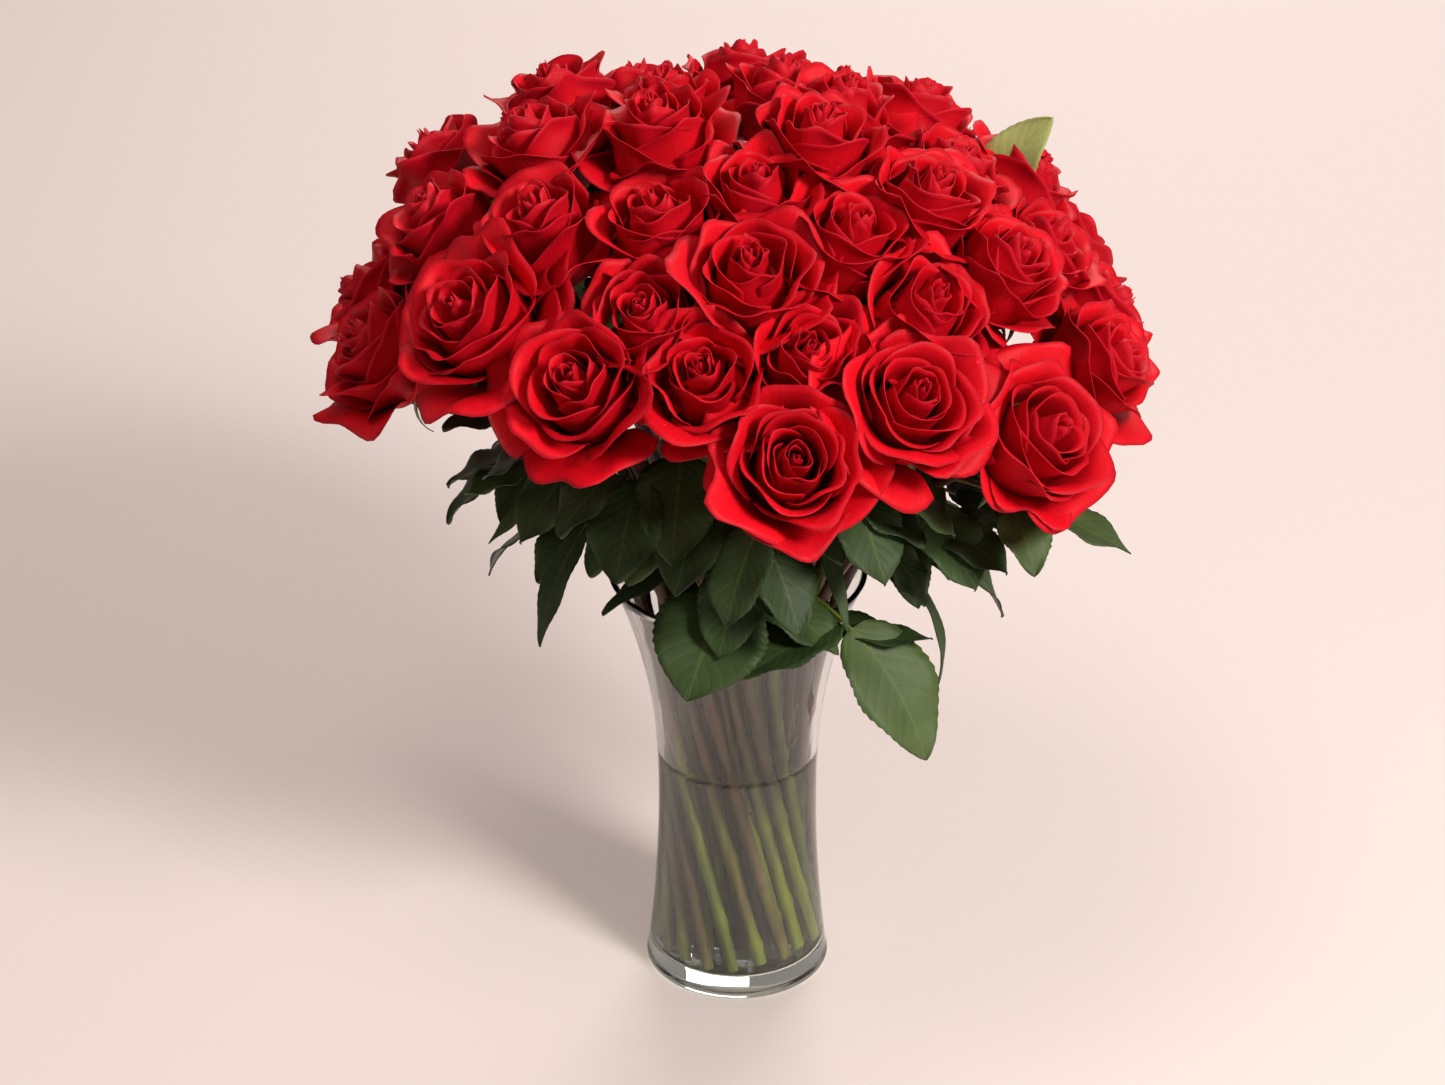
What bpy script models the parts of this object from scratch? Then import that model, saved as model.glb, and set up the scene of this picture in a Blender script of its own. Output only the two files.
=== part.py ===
"""Cut roses standing in a flared glass vase with water.

Metres, +Z up. The origin is the middle of the vase's underside, on the table.
-Y is the side that faces the viewer. Azimuths run from -Y towards +X.
"""
import functools
import math

import bmesh
import bpy
from mathutils import Matrix, Vector

# Vase
VASE_HEIGHT = 0.250
RIM_RADIUS = 0.071
WAIST_RADIUS = 0.0444
WAIST_HEIGHT = 0.112
BASE_RADIUS = 0.052
FOOT_BEVEL = 0.003
FOOT_ROUND = 0.3         # where the bevel is broken in two, as a share of it
GLASS_WALL = 0.0032
GLASS_FLOOR = 0.012
FLOOR_FILLET = 0.004
FLARE = 2.3              # power of the curve from waist to rim
VASE_SIDES = 32
WALL_RINGS = 9

# Water
WATER_LEVEL = 0.138
SKIN_GAP = 0.0003        # water to glass
HOLE_GAP = 0.0004        # water to stem

# Bunch of stems
STEM_RADIUS = 0.0024     # thinner where the waist is too narrow for them all
BELOW_RIM = 0.050
BUNCH_TOP = VASE_HEIGHT - BELOW_RIM      # the stems are straight below this height
BUNCH_TWIST = -75.0      # turn of the bunch from its feet to BUNCH_TOP, degrees
TOUCH_GAP = 0.0003       # between pieces that rest on each other
SLANT_WIDTH = 1.1        # a slanted stem's level section against its thickness
FOOT_DIP = 0.35          # how far a slanted foot's edge hangs below its middle, against its radius
INWARD = 0.95            # under 1 moves the middle stems further out in the bunch
STEM_BENDS = 4
BEND_REACH = 0.38        # handles of the bend, as a share of its chord
NEARLY_PARALLEL = 0.001  # sine of the angle between two stems

# Dome of blooms
ABOVE_RIM = 0.060
DOME_CENTRE = VASE_HEIGHT + ABOVE_RIM
DOME_RADIUS = 0.235
DOME_RISE = 0.224
BLOOM_HEIGHT = 0.054
NOD = 0.85               # how far a bloom turns out, as a share of its place's tilt
HIP_RADIUS = 0.0062
HIP_LENGTH = 0.012
BLOOM_GAP = 0.0014       # between neighbouring blooms
BLOOM_SIDES = 8
CUP_DISH = 0.97          # the middle of the cup's top against its edge
# The cup's outline from its top down: share of its height, share of its radius
CUP_LEVELS = [(1.0, 0.62), (0.82, 0.96), (0.66, 1.0), (0.34, 0.84), (0.10, 0.45)]
HIP_TAPER = 0.9          # the hip's lower edge against its top, at HIP_TURN of its length
HIP_TURN = 0.6
NECK = 0.8               # the hip's end inside the stem, against the stem

# Leaves
LEAF_THICKNESS = 0.0009
STALK_WIDTH = 0.0024
LEAF_ROWS = 5
LEAF_BALANCE = 0.8       # under 1 moves the widest place towards the stalk
LEAF_FULLNESS = 0.8      # under 1 makes the outline rounder
LEAF_FOLD = 0.25         # how far the edges stand up, against half the width

# Each rose: azimuth and tilt of its place in degrees, widest bloom radius in mm, and how
# far it stands out of the dome in mm
ROSES = [
    # lowest ring
    (8, 60, 35, 0), (28, 55, 36, 4), (50, 65, 34, 0), (72, 63, 33, 4), (94, 63, 33, -3),
    (115, 62, 33, 5), (136, 62, 33, -4), (157, 62, 33, 3), (178, 62, 33, -2), (199, 62, 33, 6),
    (220, 62, 33, -4), (241, 62, 33, 2), (262, 64, 32, 2), (282, 62, 33, -2),
    # second ring
    (307, 49, 37, 6), (332, 52, 36, -2), (354, 48, 31, -6), (13, 45, 27, -8), (39, 43, 30, -4),
    (62, 43, 31, 4), (84, 47, 30, -2), (106, 45, 30, 7), (130, 45, 31, -4), (154, 46, 31, 4),
    (178, 45, 31, -3), (202, 46, 31, 5), (226, 45, 31, 6), (250, 46, 30, 18), (276, 44, 32, 8),
    # third ring
    (340, 40, 28, -9), (3, 34, 29, 0), (32, 29, 30, -4), (60, 30, 30, 5), (88, 31, 28, -3),
    (118, 28, 29, 6), (148, 29, 29, -2), (178, 28, 29, 5), (210, 29, 29, 0), (240, 29, 29, 14),
    (272, 27, 28, 10), (304, 33, 30, 2), (334, 25, 28, -6),
    # top
    (8, 19, 29, -4), (48, 14, 28, 8), (102, 14, 27, 4), (154, 13, 27, 0), (228, 13, 27, -2),
    (300, 12, 28, 6),
]
OUTER_TILT = 65          # the tilt whose stem runs along the outside of the bunch

# Leaves near the viewer: rose number, where on its stem as mm that the stem has leaned out
# past the rim, heading azimuth, slope at the stem and at the tip in degrees, then stalk,
# blade length and blade width in mm, and how far the blade is rolled about its midrib
FRONT_LEAVES = [
    (1, 2, -30, -14, -60, 13, 62, 62, -22),
    (1, 0, 62, -16, -40, 7, 56, 34, 18),
    (17, -10, -58, -6, -26, 8, 64, 20, 0),
    (2, -8, 56, -10, -74, 46, 76, 50, 26),
    (2, -8, 68, -50, 24, 26, 60, 26, 0),
    (2, 20, 24, -40, -60, 4, 62, 10, 0),
    (2, 35, 62, -12, -34, 8, 50, 38, 0),
    (3, 13, 70, 6, -120, 28, 60, 9, 0),
    (3, 26, 52, -34, -56, 8, 40, 26, 0),
    (3, 45, 60, -14, -34, 12, 52, 36, 0),
    (3, 70, 76, -12, -26, 34, 66, 34, 0),
    (4, 32, 84, -14, -40, 20, 58, 38, 0),
    (14, 7, -46, -36, -80, 6, 72, 18, 0),
    (14, 22, -62, -18, -44, 6, 48, 12, 0),
    (14, 31, -74, -2, -30, 8, 40, 26, 0),
    (14, 62, -100, 16, 8, 8, 52, 30, 0),
    (15, 42, -84, 2, -22, 10, 52, 38, 0),
    (16, 5, -50, -8, -34, 8, 42, 32, 0),
    (16, 21, -50, -30, -60, 6, 50, 32, 0),
]
# The same for the other outer roses, two on each; headings are turned left or right of
# the stem's own azimuth by SPREAD
BACK_ROSES = range(5, 14)
BACK_LEAVES = [
    (30, 1, -18, -58, 16, 60, 36),
    (-1, -1, 12, -74, 22, 66, 38),
]
SPREAD = 11

WELD = 0.00002           # points nearer than this are one

PETAL_RED = (0.52, 0.004, 0.010)
LEAF_GREEN = (0.045, 0.085, 0.022)
STEM_GREEN = (0.10, 0.13, 0.035)
GLASS_TINT = (0.90, 0.93, 0.93)
WATER_TINT = (0.86, 0.92, 0.90)


def material(name, colour, roughness, metallic=0.0, transmission=0.0):
    mat = bpy.data.materials.new(name)
    mat.use_nodes = True
    shader = mat.node_tree.nodes["Principled BSDF"]
    shader.inputs["Base Color"].default_value = (*colour, 1.0)
    shader.inputs["Roughness"].default_value = roughness
    shader.inputs["Metallic"].default_value = metallic
    shader.inputs["Transmission Weight"].default_value = transmission
    mat.diffuse_color = (*colour, 1.0)
    return mat


def mesh_object(name, mesh, collection, *mats):
    obj = bpy.data.objects.new(name, mesh)
    for mat in mats:
        mesh.materials.append(mat)
    collection.objects.link(obj)
    return obj


def turned(name, outline, sides, collection, mat):
    """An outline of (radius, height) pairs turned once about Z, made a plain mesh."""
    mesh = bpy.data.meshes.new(name)
    points = [(radius, 0.0, height) for radius, height in outline]
    mesh.from_pydata(points, [(i, i + 1) for i in range(len(points) - 1)], [])
    obj = mesh_object(name, mesh, collection, mat)
    screw = obj.modifiers.new("Turn", "SCREW")
    screw.steps = sides
    screw.render_steps = sides
    screw.use_merge_vertices = True
    screw.merge_threshold = WELD
    screw.use_smooth_shade = True
    screw.use_normal_calculate = True
    return flatten(obj)


def flatten(obj):
    """Replace an object's mesh or curve by its evaluated, welded mesh."""
    depsgraph = bpy.context.evaluated_depsgraph_get()
    mesh = bpy.data.meshes.new_from_object(obj.evaluated_get(depsgraph))
    bm = bmesh.new()
    bm.from_mesh(mesh)
    bmesh.ops.remove_doubles(bm, verts=bm.verts, dist=WELD)
    bmesh.ops.recalc_face_normals(bm, faces=bm.faces)
    bm.to_mesh(mesh)
    bm.free()
    name = obj.name
    home = obj.users_collection[0]
    place = obj.matrix_world.copy()
    bpy.data.objects.remove(obj)
    mesh.name = name
    flat = bpy.data.objects.new(name, mesh)
    flat.matrix_world = place
    home.objects.link(flat)
    return flat


def combine(obj, others, operation):
    """Fuse others into obj, or cut them from it, and drop them."""
    for other in others:
        step = obj.modifiers.new(other.name, "BOOLEAN")
        step.operation = operation
        step.solver = "EXACT"
        step.object = other
    solid = flatten(obj)
    for other in others:
        bpy.data.objects.remove(other)
    return solid


# ---- vase and water ----

def outer_radius(height):
    if height < WAIST_HEIGHT:
        below = (WAIST_HEIGHT - height) / WAIST_HEIGHT
        return WAIST_RADIUS + (BASE_RADIUS - WAIST_RADIUS) * below ** 2
    above = (height - WAIST_HEIGHT) / (VASE_HEIGHT - WAIST_HEIGHT)
    return WAIST_RADIUS + (RIM_RADIUS - WAIST_RADIUS) * above ** FLARE


def inner_radius(height):
    return outer_radius(height) - GLASS_WALL


def wall_heights(low, high, rings):
    return [low + (high - low) * i / (rings - 1) for i in range(rings)]


def cavity_outline(top, gap):
    """The hollow's outline from the middle of the floor up to a height, drawn in by gap."""
    fillet_top = GLASS_FLOOR + FLOOR_FILLET
    outline = [(0.0, GLASS_FLOOR + gap)]
    for turn in (0, 45, 90):
        angle = math.radians(turn)
        radius = inner_radius(fillet_top) - FLOOR_FILLET * (1 - math.sin(angle)) - gap
        outline.append((radius, fillet_top - FLOOR_FILLET * math.cos(angle) + gap))
    for height in wall_heights(fillet_top, VASE_HEIGHT - GLASS_WALL / 2, WALL_RINGS)[1:]:
        if height < top - TOUCH_GAP:
            outline.append((inner_radius(height) - gap, height))
    outline.append((inner_radius(top) - gap, top))
    return outline


def build_vase(collection, mat):
    rim_low = VASE_HEIGHT - GLASS_WALL / 2
    outline = cavity_outline(rim_low, 0.0)
    outline.append((RIM_RADIUS - GLASS_WALL / 2, VASE_HEIGHT))
    outline.append((outer_radius(rim_low), rim_low))
    for height in reversed(wall_heights(FOOT_BEVEL, rim_low, WALL_RINGS)[:-1]):
        outline.append((outer_radius(height), height))
    outline.append((outer_radius(0) - FOOT_BEVEL * FOOT_ROUND, FOOT_BEVEL * FOOT_ROUND))
    outline.append((outer_radius(0) - FOOT_BEVEL, 0.0))
    outline.append((0.0, 0.0))
    return turned("vase", outline, VASE_SIDES, collection, mat)


# ---- layout of the roses ----

def heading(azimuth, slope):
    """Unit vector for an azimuth from -Y towards +X and a slope up from level."""
    a = math.radians(azimuth)
    s = math.radians(slope)
    return Vector((math.sin(a) * math.cos(s), -math.cos(a) * math.cos(s), math.sin(s)))


def bunch_scale():
    """Radius of the outermost stems at the feet and at BUNCH_TOP, and the feet's height."""
    room = STEM_RADIUS * SLANT_WIDTH + TOUCH_GAP
    feet = GLASS_FLOOR + TOUCH_GAP + STEM_RADIUS * FOOT_DIP
    low = inner_radius(GLASS_FLOOR + FLOOR_FILLET) - FLOOR_FILLET - room
    high = inner_radius(BUNCH_TOP) - room
    twist = math.radians(BUNCH_TWIST)
    squeeze = 1.0
    for i in range(21):
        share = i / 20
        height = feet + (BUNCH_TOP - feet) * share
        spread = abs((1 - share) * low + share * high * complex(math.cos(twist), math.sin(twist)))
        squeeze = min(squeeze, (inner_radius(height) - room) / spread)
    return low * squeeze, high * squeeze, feet


def stem_rank(tilt):
    """How far out in the bunch a stem stands, from 0 in the middle to 1 on the outside."""
    return (math.sin(math.radians(tilt) / 2) / math.sin(math.radians(OUTER_TILT) / 2)) ** INWARD


def stem_line(rose):
    """The cut end of a stem and the top of its straight part."""
    azimuth, tilt = rose[:2]
    low, high, feet = bunch_scale()
    rank = stem_rank(tilt)
    foot = heading(azimuth - BUNCH_TWIST, 0) * rank * low + Vector((0, 0, feet))
    top = heading(azimuth, 0) * rank * high + Vector((0, 0, BUNCH_TOP))
    return foot, top


def line_gap(one, other):
    """How near two stems' axes pass."""
    along = (one[1] - one[0]).normalized()
    beside = (other[1] - other[0]).normalized()
    apart = other[0] - one[0]
    across = along.cross(beside)
    if across.length < NEARLY_PARALLEL:
        return (apart - along * apart.dot(along)).length
    return abs(apart.dot(across.normalized()))


@functools.cache
def stem_radius():
    """STEM_RADIUS, or less where two stems would leave no water between them."""
    lines = [stem_line(rose) for rose in ROSES]
    nearest = min(line_gap(one, other) for i, one in enumerate(lines) for other in lines[:i])
    return min(STEM_RADIUS, nearest / 2 - HOLE_GAP)


def stem_route(rose):
    """Points from the cut end up to the hip, straight in the bunch and bent above it."""
    foot, top = stem_line(rose)
    hip = bloom_base(rose)
    axis = bloom_axis(rose)
    rise = (top - foot).normalized()
    reach = (hip - top).length * BEND_REACH
    first = top + rise * reach
    second = hip - axis * reach
    points = [foot, top]
    for i in range(1, STEM_BENDS + 1):
        t = i / STEM_BENDS
        u = 1 - t
        points.append(top * u ** 3 + first * 3 * u * u * t + second * 3 * u * t * t + hip * t ** 3)
    return points


def bloom_axis(rose):
    azimuth, tilt = rose[:2]
    return heading(azimuth, 90 - tilt * NOD)


def bloom_base(rose):
    azimuth, tilt, _, out = rose
    t = math.radians(tilt)
    place = heading(azimuth, 0) * DOME_RADIUS * math.sin(t)
    place += Vector((0, 0, DOME_CENTRE + DOME_RISE * math.cos(t)))
    return place + bloom_axis(rose) * (out / 1000 - BLOOM_HEIGHT)


def bloom_radius(rose):
    """The wished radius, or less where a neighbour is too near at any level of the cup."""
    own = rose[2]
    radius = own / 1000
    for other in ROSES:
        if other is rose:
            continue
        share = own / (own + other[2])
        for level, width in CUP_LEVELS:
            here = bloom_base(rose) + bloom_axis(rose) * BLOOM_HEIGHT * level
            there = bloom_base(other) + bloom_axis(other) * BLOOM_HEIGHT * level
            radius = min(radius, ((there - here).length - BLOOM_GAP) * share / width)
    return radius


def point_past_rim(route, out):
    """Where a stem has leaned out past the rim by a distance, or its top."""
    reach = RIM_RADIUS + out
    for low, high in zip(route[1:], route[2:]):
        near = math.hypot(low.x, low.y)
        far = math.hypot(high.x, high.y)
        if near <= reach <= far:
            return low.lerp(high, (reach - near) / (far - near))
    return route[-1]


# ---- one rose ----

def build_head(name, rose, collection, mat):
    radius = bloom_radius(rose)
    tall = BLOOM_HEIGHT
    outline = [(0.0, tall * CUP_DISH)]
    outline += [(radius * width, tall * level) for level, width in CUP_LEVELS]
    outline += [
        (HIP_RADIUS, 0.0),
        (HIP_RADIUS * HIP_TAPER, -HIP_LENGTH * HIP_TURN),
        (stem_radius() * NECK, -HIP_LENGTH),
        (0.0, -HIP_LENGTH),
    ]
    head = turned(name, outline, BLOOM_SIDES, collection, mat)
    facing = bloom_axis(rose).to_track_quat("Z", "Y").to_matrix().to_4x4()
    head.data.transform(Matrix.Translation(bloom_base(rose)) @ facing)
    return head


def tube(name, points, radius, collection, mat):
    """A six-sided tube along the points with welded end caps."""
    curve = bpy.data.curves.new(name, "CURVE")
    curve.dimensions = "3D"
    curve.bevel_depth = radius
    curve.bevel_resolution = 1
    curve.use_fill_caps = True
    spline = curve.splines.new("POLY")
    spline.points.add(len(points) - 1)
    for slot, point in zip(spline.points, points):
        slot.co = (*point, 1.0)
    curve.materials.append(mat)
    obj = bpy.data.objects.new(name, curve)
    collection.objects.link(obj)
    return flatten(obj)


def build_leaf(name, start, azimuth, slopes, sizes, roll, collection, mat):
    """A thin bent blade on a flat stalk that begins inside the stem."""
    stalk, length, width = (size / 1000 for size in sizes)
    total = stalk + length
    bm = bmesh.new()
    bmesh.ops.create_grid(bm, x_segments=LEAF_ROWS, y_segments=2, size=1.0)
    level = heading(azimuth + 90, 0)
    turn = math.radians(roll)
    for vert in bm.verts:
        share = (vert.co.x + 1) / 2
        side = vert.co.y
        run = share * total
        slope = slopes[0] + (slopes[1] - slopes[0]) * share
        mean = (slopes[0] + slope) / 2
        spine = start + heading(azimuth, mean) * run
        blade = max(0.0, (run - stalk) / length)
        swell = math.sin(math.pi * min(1.0, blade) ** LEAF_BALANCE)
        half = STALK_WIDTH / 2 + (width - STALK_WIDTH) / 2 * max(0.0, swell) ** LEAF_FULLNESS
        upward = heading(azimuth, slope + 90)
        across = level * math.cos(turn) + upward * math.sin(turn)
        normal = upward * math.cos(turn) - level * math.sin(turn)
        vert.co = spine + across * half * side + normal * half * abs(side) * LEAF_FOLD
    mesh = bpy.data.meshes.new(name)
    bm.to_mesh(mesh)
    bm.free()
    leaf = mesh_object(name, mesh, collection, mat)
    shell = leaf.modifiers.new("Thickness", "SOLIDIFY")
    shell.thickness = LEAF_THICKNESS
    shell.offset = 0.0
    return flatten(leaf)


def leaf_list():
    """Every leaf as rose number, reach past the rim, heading azimuth, slopes, sizes, roll."""
    leaves = []
    for number, out, azimuth, start, end, *sizes, roll in FRONT_LEAVES:
        leaves.append((number, out / 1000, azimuth, (start, end), sizes, roll))
    for number in BACK_ROSES:
        own = ROSES[number - 1][0]
        for out, side, start, end, *sizes in BACK_LEAVES:
            leaves.append((number, out / 1000, own + side * SPREAD, (start, end), sizes, 0))
    return leaves


def build_rose(number, rose, leaves, collection, mats):
    name = f"rose_{number:02d}"
    route = stem_route(rose)
    hip = route[-1]
    inside = hip - (hip - route[-2]).normalized() * HIP_LENGTH / 2
    pieces = [tube(name + "_stem", route[:-1] + [inside], stem_radius(), collection, mats["stem"])]
    for count, (_, out, azimuth, slopes, sizes, roll) in enumerate(leaves):
        start = point_past_rim(route, out)
        pieces.append(build_leaf(f"{name}_leaf_{count}", start, azimuth, slopes, sizes, roll,
                                 collection, mats["leaf"]))
    head = build_head(name, rose, collection, mats["petal"])
    return combine(head, pieces, "UNION")


def build_water(collection, cutters, mats):
    outline = cavity_outline(WATER_LEVEL, SKIN_GAP) + [(0.0, WATER_LEVEL)]
    water = turned("water", outline, VASE_SIDES, collection, mats["water"])
    holes = []
    for number, rose in enumerate(ROSES, 1):
        foot, top = stem_line(rose)
        rise = (top - foot).normalized()
        ends = [foot - rise * GLASS_FLOOR, top]
        holes.append(tube(f"hole_{number}", ends, stem_radius() + HOLE_GAP, cutters, mats["stem"]))
    return combine(water, holes, "DIFFERENCE")


def main():
    for obj in list(bpy.data.objects):
        bpy.data.objects.remove(obj)
    parts = bpy.data.collections.new("roses_in_vase")
    cutters = bpy.data.collections.new("cutters")
    for collection in (parts, cutters):
        bpy.context.scene.collection.children.link(collection)
    mats = {
        "petal": material("petal", PETAL_RED, 0.55),
        "leaf": material("leaf", LEAF_GREEN, 0.40),
        "stem": material("stem", STEM_GREEN, 0.50),
        "glass": material("glass", GLASS_TINT, 0.03, transmission=1.0),
        "water": material("water", WATER_TINT, 0.02, transmission=1.0),
    }
    build_vase(parts, mats["glass"])
    leaves = leaf_list()
    for number, rose in enumerate(ROSES, 1):
        own = [leaf for leaf in leaves if leaf[0] == number]
        build_rose(number, rose, own, parts, mats)
    build_water(parts, cutters, mats)


main()
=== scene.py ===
import math

import bpy
import numpy as np
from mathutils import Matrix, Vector


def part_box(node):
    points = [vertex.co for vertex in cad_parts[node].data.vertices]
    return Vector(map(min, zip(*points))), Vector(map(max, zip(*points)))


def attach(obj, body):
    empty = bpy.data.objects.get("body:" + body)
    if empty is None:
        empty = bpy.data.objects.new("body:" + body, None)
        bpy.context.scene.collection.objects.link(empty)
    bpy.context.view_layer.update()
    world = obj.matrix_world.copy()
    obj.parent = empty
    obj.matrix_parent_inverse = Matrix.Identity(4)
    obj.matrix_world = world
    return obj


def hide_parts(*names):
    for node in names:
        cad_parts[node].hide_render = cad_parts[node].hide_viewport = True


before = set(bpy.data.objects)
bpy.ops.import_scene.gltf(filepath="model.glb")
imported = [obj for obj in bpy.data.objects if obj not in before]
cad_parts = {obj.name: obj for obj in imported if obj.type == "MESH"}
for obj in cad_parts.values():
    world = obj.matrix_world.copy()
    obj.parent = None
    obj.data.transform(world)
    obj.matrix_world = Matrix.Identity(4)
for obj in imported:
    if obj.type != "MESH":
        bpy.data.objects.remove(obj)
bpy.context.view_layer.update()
scene = bpy.context.scene
scene.view_settings.view_transform = "Standard"


# small helpers

def hexColour(text):
    # sRGB hex to the linear values that shader sockets take
    parts = [int(text[i:i + 2], 16) / 255 for i in (1, 3, 5)]
    linear = [p / 12.92 if p <= 0.04045 else ((p + 0.055) / 1.055) ** 2.4 for p in parts]
    return (*linear, 1.0)


def addNode(tree, kind, settings=None, sockets=None):
    # settings are the node's own options; a socket gets a plain value or another node's output
    node = tree.nodes.new(kind)
    for option, value in (settings or {}).items():
        setattr(node, option, value)
    for socket, value in (sockets or {}).items():
        if isinstance(value, bpy.types.NodeSocket):
            tree.links.new(value, node.inputs[socket])
        else:
            node.inputs[socket].default_value = value
    return node


def fillRamp(node, stops):
    ramp = node.color_ramp
    while len(ramp.elements) > 1:
        ramp.elements.remove(ramp.elements[-1])
    ramp.elements[0].position, first = stops[0][0], stops[0][1]
    ramp.elements[0].color = hexColour(first)
    for position, colour in stops[1:]:
        ramp.elements.new(position).color = hexColour(colour)


def newMaterial(name):
    mat = bpy.data.materials.new(name)
    mat.use_nodes = True
    tree = mat.node_tree
    return mat, tree, tree.nodes["Principled BSDF"]


def smooth(x):
    x = np.clip(x, 0, 1)
    return x * x * (3 - 2 * x)


def mix(a, b, share):
    return a + (b - a) * share


def heading(azimuth, slope):
    # unit vector: azimuth from -Y towards +X, slope up from level, degrees
    a, s = math.radians(azimuth), math.radians(slope)
    return Vector((math.sin(a) * math.cos(s), -math.cos(a) * math.cos(s), math.sin(s)))


# materials

petalColours = {
    # the dark first stop of the front and back ramps darkens each petal's foot, deep in the cup:
    # painted shade
    "front": [(0.0, "#4A000A"), (0.30, "#AE0414"), (0.70, "#DE081A"), (0.95, "#E60C20"),
              (1.0, "#BE0A20")],
    "back": [(0.0, "#6A0810"), (0.30, "#B20618"), (0.80, "#D0081C"), (1.0, "#C81026")],
    # mixed in by each petal's random tone, and more on the inner petals as painted shade deep in
    # the bloom
    "darkToneAndShade": "#A80416",
    "veinsAcross": 46,       # fine veins fan out about 1.2 mm apart on a 55 mm petal
    "veinsAlong": 2.2,
    "cloudScale": 70.0,      # soft patches about 14 mm across
    "creaseDepth": 0.0006,
    "roughness": 0.56,
    "specular": 0.16,
    "sheenRoughness": 0.45,
    "sheenTint": "#FF2030",
}


def velvetPetal(name, stops, sheen):
    # living rose petal, velvety from tiny domed cells: deep saturated red, soft sheen at a glance
    mat, tree, shader = newMaterial(name)
    uv = addNode(tree, "ShaderNodeUVMap", {"uv_map": "petalUV"})
    split = addNode(tree, "ShaderNodeSeparateXYZ", sockets={0: uv.outputs[0]})
    tone = addNode(tree, "ShaderNodeAttribute", {"attribute_name": "petalToneAndInnerShade"})
    # colour along the petal, with painted shade at its foot deep in the cup
    tintAndFootShade = addNode(tree, "ShaderNodeValToRGB", sockets={0: split.outputs["Y"]})
    fillRamp(tintAndFootShade, stops)
    darkToneAndShade = addNode(tree, "ShaderNodeMix", {"data_type": "RGBA", "blend_type": "MIX"},
                     {0: tone.outputs["Fac"], 6: tintAndFootShade.outputs[0],
                      7: hexColour(petalColours["darkToneAndShade"])})
    stretch = addNode(tree, "ShaderNodeMapping", sockets={
        "Vector": uv.outputs[0],
        "Scale": (petalColours["veinsAcross"], petalColours["veinsAlong"], 1)})
    veins = addNode(tree, "ShaderNodeTexNoise", sockets={
        "Vector": stretch.outputs[0], "Scale": 1.0, "Detail": 2.0, "Roughness": 0.55})
    veinTint = addNode(tree, "ShaderNodeMapRange", sockets={
        "Value": veins.outputs["Fac"], "From Min": 0.35, "From Max": 0.7,
        "To Min": 0.0, "To Max": 0.16})
    coloured = addNode(tree, "ShaderNodeMix", {"data_type": "RGBA", "blend_type": "MULTIPLY"},
                       {0: veinTint.outputs[0], 6: darkToneAndShade.outputs[2], 7: hexColour("#6E2030")})
    where = addNode(tree, "ShaderNodeTexCoord")
    cloud = addNode(tree, "ShaderNodeTexNoise", sockets={
        "Vector": where.outputs["Object"], "Scale": petalColours["cloudScale"], "Detail": 2.0})
    cloudTint = addNode(tree, "ShaderNodeMapRange", sockets={
        "Value": cloud.outputs["Fac"], "From Min": 0.3, "From Max": 0.75,
        "To Min": 0.0, "To Max": 0.18})
    final = addNode(tree, "ShaderNodeMix", {"data_type": "RGBA", "blend_type": "MULTIPLY"},
                    {0: cloudTint.outputs[0], 6: coloured.outputs[2], 7: hexColour("#A03040")})
    creases = addNode(tree, "ShaderNodeBump", sockets={
        "Height": veins.outputs["Fac"], "Strength": 0.25,
        "Distance": petalColours["creaseDepth"]})
    tree.links.new(final.outputs[2], shader.inputs["Base Color"])
    tree.links.new(creases.outputs[0], shader.inputs["Normal"])
    shader.inputs["Roughness"].default_value = petalColours["roughness"]
    shader.inputs["Specular IOR Level"].default_value = petalColours["specular"]
    shader.inputs["Sheen Weight"].default_value = sheen
    shader.inputs["Sheen Roughness"].default_value = petalColours["sheenRoughness"]
    shader.inputs["Sheen Tint"].default_value = hexColour(petalColours["sheenTint"])
    return mat


leafColours = {
    "top": [(0.0, "#0A160A"), (0.30, "#10210E"), (0.55, "#1E3A13"), (0.80, "#456A1E"),
            (1.0, "#93A258")],
    "under": [(0.0, "#22341A"), (0.5, "#384C26"), (0.8, "#5A6C3C"), (1.0, "#98A462")],
    "vein": "#6F8238",
    "veinPairs": 9,
    "veinSlant": -0.62,      # how far the side veins run towards the tip on their way out
    "netScale": 34.0,        # cells between the fine veins, about 1.5 mm
    "blotchScale": 45.0,     # tone patches about 22 mm across
    "reliefDepth": 0.0004,
    "specular": 0.28,
}


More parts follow.
